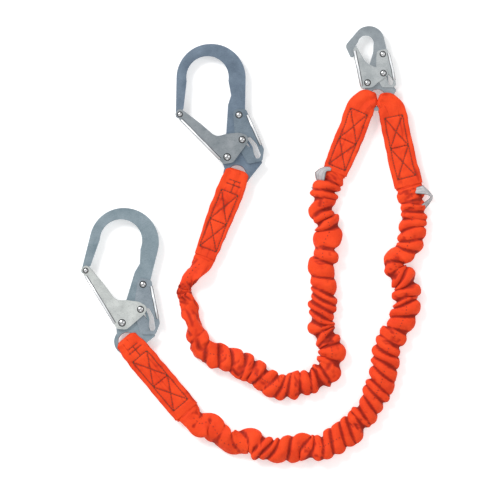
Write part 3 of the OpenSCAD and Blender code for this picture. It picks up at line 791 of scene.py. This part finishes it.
for legName, leg in legs.items():
    jacket, line, length, rings, places = makeJacket(legName, leg)
    mesh = jacket.data
    around = jacketSettings["around"]
    ringOf = [item.value for item in mesh.attributes["ring"].data]
    columnOf = [item.value for item in mesh.attributes["column"].data]
    seams = {around // 4: {}, 3 * around // 4: {}}
    for i, vert in enumerate(mesh.vertices):
        if columnOf[i] in seams:
            seams[columnOf[i]][ringOf[i]] = (vert.co.copy(), vert.normal.copy())
    stitches = []
    for seam in seams.values():
        for ring in range(seamSettings["skipped"], rings - seamSettings["skipped"],
                          seamSettings["every"]):
            (a, upA), (b, upB) = seam[ring], seam[ring + 1]
            up = (upA + upB).normalized()
            shown = noise.noise(Vector((ring * seamSettings["dipRate"], leg["seed"], 0.3)))
            if (b - a).length > seamSettings["shortest"] and shown > seamSettings["dipLevel"]:
                stitches.append(((a + b) / 2 + up * seamSettings["lift"], b - a, up))
    finishPiece(jacket, orangeWebbing, "webbing")
    # Painted shade: points in the notches between folds are darkened, more where the webbing is
    # gathered.
    notchShades = [seamSettings["notchShade"] * item.value for item in mesh.attributes["notch"].data]
    markCreaseShade(mesh, seamSettings["creaseDepth"], notchShades)
    for name in ("rest", "ring", "column", "notch"):
        mesh.attributes.remove(mesh.attributes[name])
    soften(jacket, "softFolds")
    thicken(jacket, "wall", jacketSettings["wall"])
    jacket.name = legName + "_jacketFolds"
    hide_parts(legName + "_jacket", legName + "_core")
    seamPiece = stitchesPiece(legName + "_jacketSeam", stitches, seamThread, seamSettings["stitch"])
    print(legName, "jacket settled, length", round(length, 3), "stitches", len(stitches))


# Sewn ends: a layer below, round through the eye, and a layer above, with the leg between.
# path runs from the eye outwards: x, y and half the width.
endSettings = {
    "layer": 0.0031, "row": 0.0017, "columns": 24, "wrapRows": 8, "sewnHeight": 0.0033,
    "flare": 0.062, "pleat": 0.0012, "wave": 0.0009, "edgeWave": 0.0013, "thinEdge": 0.0009,
    "groove": 0.0011, "grooveWidth": 0.0019, "creaseDepth": 0.0012,
    "stitch": (0.0031, 0.0015, 0.0011), "pitch": 0.0042, "tacking": (0.013, 0.020),
}
middleSettings = {"start": 0.045, "beyond": 0.004, "narrower": 0.0016, "thickness": 0.0034}
sewnEnds = {
    "leg_a_top_end": {
        "path": [(0.1947, 0.2063, 0.0125), (0.1840, 0.2030, 0.0205), (0.1733, 0.1922, 0.0230),
                 (0.1658, 0.1749, 0.0232), (0.1584, 0.1535, 0.0228), (0.1444, 0.1205, 0.0225),
                 (0.1299, 0.0851, 0.0208)],
        "eye": 0.0064, "reach": 0.004, "narrow": 0.55,
        "boxes": [(0.034, 0.086), (0.086, 0.133)], "boxHalf": 0.0148, "lift": 0.0, "seed": 3,
    },
    "leg_b_top_end": {
        "path": [(0.2063, 0.2046, 0.0125), (0.2153, 0.1997, 0.0190), (0.2236, 0.1881, 0.0223),
                 (0.2277, 0.1716, 0.0228), (0.2318, 0.1485, 0.0229), (0.2414, 0.1056, 0.0232),
                 (0.2521, 0.0627, 0.0236)],
        "eye": 0.0064, "reach": 0.004, "narrow": 0.55,
        "boxes": [(0.036, 0.087), (0.087, 0.139)], "boxHalf": 0.0150, "lift": 0.0004, "seed": 5,
    },
    "leg_a_hook_end": {
        "path": [(-0.0316, 0.0842, 0.0200), (-0.0348, 0.0745, 0.0212), (-0.0440, 0.0500, 0.0228),
                 (-0.0580, 0.0150, 0.0222), (-0.0720, -0.0220, 0.0200), (-0.0843, -0.0543, 0.0180)],
        "eye": 0.0069, "reach": 0.0045, "narrow": 0.62,
        "boxes": [(0.034, 0.086), (0.086, 0.134)], "boxHalf": 0.0145, "lift": 0.0, "seed": 7,
    },
    "leg_b_hook_end": {
        "path": [(-0.2135, -0.1922, 0.0200), (-0.2060, -0.2010, 0.0212),
                 (-0.1925, -0.2172, 0.0230), (-0.1633, -0.2520, 0.0232),
                 (-0.1382, -0.2819, 0.0232), (-0.1143, -0.3104, 0.0234)],
        "eye": 0.0069, "reach": 0.0045, "narrow": 0.62,
        "boxes": [(0.034, 0.087), (0.087, 0.139)], "boxHalf": 0.0152, "lift": 0.0, "seed": 9,
    },
}


# Rows of thread as pairs of (along, across): boxes with crosses, and tacking near a hook's eye.
def threadRows(name, end):
    rows, half = [], end["boxHalf"]
    for near, far in end["boxes"]:
        corners = [(near, -half), (near, half), (far, half), (far, -half)]
        rows += list(zip(corners, corners[1:] + corners[:1]))
        rows += [(corners[0], corners[2]), (corners[1], corners[3])]
    if "hook" in name:
        first = end["boxes"][0][0]
        near, far = (first - back for back in endSettings["tacking"])
        rows += [((near, -0.7 * half), (near, 0.9 * half)), ((far, -0.5 * half), (far, 0.7 * half)),
                 ((far, 0.1 * half), (first, 0.1 * half))]
    return rows


# How deep the thread draws the webbing in.
def grooveAt(rows, s, across):
    deep = 0.0
    for (s0, a0), (s1, a1) in rows:
        ds, da = s1 - s0, a1 - a0
        t = ((s - s0) * ds + (across - a0) * da) / (ds * ds + da * da)
        t = min(max(t, 0.0), 1.0)
        gap = math.hypot(s - s0 - t * ds, across - a0 - t * da)
        deep = max(deep, math.exp(-(gap / endSettings["grooveWidth"]) ** 2))
    return deep


# The leg's own webbing lies between the two layers.
def makeMiddle(name, line, length, halves):
    start, beyond = middleSettings["start"], middleSettings["beyond"]
    bm = bmesh.new()
    wovenGrid(bm, 40, 10, 0.044, length)
    for vert in bm.verts:
        s = start + (length + beyond - start) * (vert.co.x + 0.5)
        u = 2 * (vert.co.y + 0.5) - 1
        centre = pointOn(line, length, s)
        centre = centre + aheadOn(line, length, length - beyond) * max(0, s - length)
        ahead = aheadOn(line, length, min(s, length - beyond), 0.004)
        half = between(halves, s) - middleSettings["narrower"]
        flat = centre + Vector((-ahead.y, ahead.x)) * u * half
        vert.co = (flat.x, flat.y, midHeight)
    bmesh.ops.recalc_face_normals(bm, faces=bm.faces)
    middle = finishPiece(meshPiece(name + "Middle", bm), orangeWebbing, "webbing")
    markCreaseShade(middle.data, endSettings["creaseDepth"])
    thicken(middle, "layer", middleSettings["thickness"])
    soften(middle, "softEdge")


def makeSewnEnd(name, end):
    line, length = smoothLine([(x, y) for x, y, half in end["path"]], 0.0008)
    chord = [0.0]
    for (x0, y0, h0), (x1, y1, h1) in zip(end["path"], end["path"][1:]):
        chord.append(chord[-1] + math.dist((x0, y0), (x1, y1)))
    halves = [(c * length / chord[-1], point[2]) for c, point in zip(chord, end["path"])]
    eyeHeight, sewnHeight = end["eye"] + end["lift"], endSettings["sewnHeight"] + end["lift"]
    threads = threadRows(name, end)

    # Painted shade, stored with the crease shade: darker in the thread grooves, at puckers, in
    # noise mottles and along the band's edges.
    def shadeAt(s, u):
        pucker = noise.noise(Vector((s * 150, u * 2.2, end["seed"] + 9.0)))
        mottledShade = noise.noise(Vector((s * 25, u * 6.0, end["seed"] + 2.0)))
        return (0.25 * grooveAt(threads, s, u * between(halves, s)) + max(0.0, pucker) * 0.30
                + max(0.0, mottledShade - 0.1) * 0.5 + 0.30 * max(0.0, abs(u) - 0.9) * 10)

    def surface(s, u, face):
        centre, ahead = pointOn(line, length, s), aheadOn(line, length, s, 0.004)
        side = Vector((-ahead.y, ahead.x))
        edge = endSettings["edgeWave"] * noise.noise(Vector((s * 75, u * 0.5, end["seed"])))
        across = u * (between(halves, s) + edge)
        blend = min(max((s - 0.012) / endSettings["flare"], 0.0), 1.0)
        blend = blend * blend * (3 - 2 * blend)
        height = eyeHeight + (sewnHeight - eyeHeight) * blend
        pleats = endSettings["pleat"] * math.cos(u * 7 + end["seed"]) * math.exp(-s / 0.035)
        waves = endSettings["wave"] * noise.noise(Vector((s * 65, u * 1.6, end["seed"] + 4.0)))
        height += pleats + waves - endSettings["thinEdge"] * abs(u) ** 5
        height -= endSettings["groove"] * grooveAt(threads, s, across)
        flat = centre + side * across
        return Vector((flat.x, flat.y, midHeight + face * height))

    rows, wrapRows = round(length / endSettings["row"]), endSettings["wrapRows"]
    total = 2 * rows + wrapRows
    bm = bmesh.new()
    wovenGrid(bm, total, endSettings["columns"], 0.046, 2 * length + 0.02)
    start, outwards = pointOn(line, length, 0), -aheadOn(line, length, 0.001, 0.004)
    shades = []
    for vert in bm.verts:
        row = round((vert.co.x + 0.5) * total)
        u = 2 * (vert.co.y + 0.5) - 1
        along = abs(row - rows - wrapRows / 2) - wrapRows / 2
        shades.append(shadeAt(max(0.0, along) * length / rows, u))
        if row <= rows:
            vert.co = surface(length * (1 - row / rows), u, -1)
        elif row >= rows + wrapRows:
            vert.co = surface(length * (row - rows - wrapRows) / rows, u, 1)
        else:  # round through the eye, where the webbing is drawn together
            turn = math.pi * (row - rows) / wrapRows - math.pi / 2
            halfWidth = halves[0][1] * (1 - end["narrow"] * math.cos(turn) ** 2 * 0.75)
            side = Vector((outwards.y, -outwards.x))
            flat = start + outwards * end["reach"] * math.cos(turn) + side * u * halfWidth
            vert.co = (flat.x, flat.y, midHeight + eyeHeight * math.sin(turn))
    bmesh.ops.recalc_face_normals(bm, faces=bm.faces)
    loopPiece = finishPiece(meshPiece(name + "Loop", bm), orangeWebbing, "webbing")
    markCreaseShade(loopPiece.data, endSettings["creaseDepth"], shades)
    thicken(loopPiece, "layer", endSettings["layer"])
    soften(loopPiece, "softEdge")
    makeMiddle(name, line, length, halves)
    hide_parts(name)

    stitches = []
    for (s0, a0), (s1, a1) in threads:
        count = round(math.hypot(s1 - s0, a1 - a0) / endSettings["pitch"])
        for i in range(count):
            for face in (-1, 1):
                spots = []
                for t in ((i + 0.12) / count, (i + 0.88) / count):
                    s, across = s0 + (s1 - s0) * t, a0 + (a1 - a0) * t
                    at = surface(s, across / between(halves, s), face)
                    at.z += face * (endSettings["layer"] / 2 + 0.0002)
                    spots.append(at)
                middle = (spots[0] + spots[1]) / 2
                stitches.append((middle, spots[1] - spots[0], Vector((0, 0, face))))
    stitchesPiece(name + "Stitches", stitches, boxThread, endSettings["stitch"])
    print(name, "sewn with", len(stitches), "stitches")


for name, end in sewnEnds.items():
    makeSewnEnd(name, end)


# Label ribbons, folded where they come out from under the sewn ends: both edges, row by row.
ribbonSettings = {"thickness": 0.0005, "length": 0.06, "cuts": 3, "smooth": 0.6}
labelRibbons = {
    "leg_a_label": [
        ((0.1249, 0.0945, 0.0150), (0.1231, 0.0873, 0.0185)),
        ((0.1130, 0.0945, 0.0185), (0.1170, 0.0870, 0.0215)),
        ((0.1035, 0.0905, 0.0195), (0.1155, 0.0850, 0.0230)),
        ((0.0972, 0.0850, 0.0180), (0.1147, 0.0800, 0.0235)),
        ((0.0982, 0.0770, 0.0160), (0.1135, 0.0740, 0.0225)),
        ((0.1008, 0.0700, 0.0135), (0.1125, 0.0690, 0.0190)),
        ((0.0990, 0.0660, 0.0115), (0.1080, 0.0655, 0.0140)),
        ((0.0914, 0.0607, 0.0105), (0.1050, 0.0625, 0.0130)),
        ((0.0960, 0.0530, 0.0095), (0.1040, 0.0548, 0.0110))],
    "leg_b_label": [
        ((0.2560, 0.0572, 0.0150), (0.2645, 0.0500, 0.0190)),
        ((0.2655, 0.0610, 0.0165), (0.2700, 0.0495, 0.0205)),
        ((0.2752, 0.0639, 0.0170), (0.2770, 0.0488, 0.0215)),
        ((0.2845, 0.0550, 0.0180), (0.2835, 0.0478, 0.0215)),
        ((0.2917, 0.0465, 0.0170), (0.2880, 0.0445, 0.0210)),
        ((0.2905, 0.0405, 0.0130), (0.2840, 0.0405, 0.0205)),
        ((0.2855, 0.0325, 0.0110), (0.2760, 0.0345, 0.0195)),
        ((0.2775, 0.0228, 0.0105), (0.2683, 0.0281, 0.0180))],
}
for name, rows in labelRibbons.items():
    bm = bmesh.new()
    wovenGrid(bm, len(rows) - 1, 1, ribbonLook["width"], ribbonSettings["length"])
    for vert in bm.verts:
        vert.co = rows[round((vert.co.x + 0.5) * (len(rows) - 1))][0 if vert.co.y < 0 else 1]
    bmesh.ops.subdivide_edges(bm, edges=bm.edges, cuts=ribbonSettings["cuts"],
                              use_grid_fill=True, smooth=ribbonSettings["smooth"])
    bmesh.ops.recalc_face_normals(bm, faces=bm.faces)
    area = sum(face.calc_area() for face in bm.faces)
    ribbon = finishPiece(meshPiece(name + "Ribbon", bm), labelRibbon, "webbing")
    thicken(ribbon, "thickness", ribbonSettings["thickness"])
    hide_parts(name)
print("labels folded")


# Floor and light.
floorSettings = {"size": 6.0, "colour": (0.90, 0.90, 0.90), "glow": 0.30}  # glow fills the shadows
bm = bmesh.new()
bmesh.ops.create_grid(bm, x_segments=1, y_segments=1, size=floorSettings["size"])
floor = meshPiece("paleFloor", bm)
scene.collection.objects.link(floor)
floorMaterial, tree, shader = newMaterial("paleFloor")
shader.inputs["Base Color"].default_value = (*floorSettings["colour"], 1)
shader.inputs["Roughness"].default_value = 0.9
shader.inputs["Specular IOR Level"].default_value = 0.0
shader.inputs["Emission Color"].default_value = (1, 1, 1, 1)
shader.inputs["Emission Strength"].default_value = floorSettings["glow"]
floor.data.materials.append(floorMaterial)

lightSettings = {
    "sky": 0.52,
    "lamps": [  # place, power, size
        ((-2.2, 2.2, 2.4), 122, 1.5), ((2.4, 0.6, 2.2), 22, 1.8), ((0.0, -2.4, 2.4), 17, 2.0)],
}
world = bpy.data.worlds.new("softStudio")
scene.world = world
world.use_nodes = True
sky = world.node_tree.nodes["Background"]
sky.inputs["Color"].default_value = (1, 1, 1, 1)
sky.inputs["Strength"].default_value = lightSettings["sky"]
for place, power, size in lightSettings["lamps"]:
    lampData = bpy.data.lights.new("softLamp", "AREA")
    lampData.energy, lampData.size = power, size
    lamp = bpy.data.objects.new("softLamp", lampData)
    lamp.location = place
    lamp.rotation_euler = (-Vector(place)).to_track_quat("-Z", "Y").to_euler()
    scene.collection.objects.link(lamp)
scene.view_settings.view_transform = "Standard"
print("floor and light set")
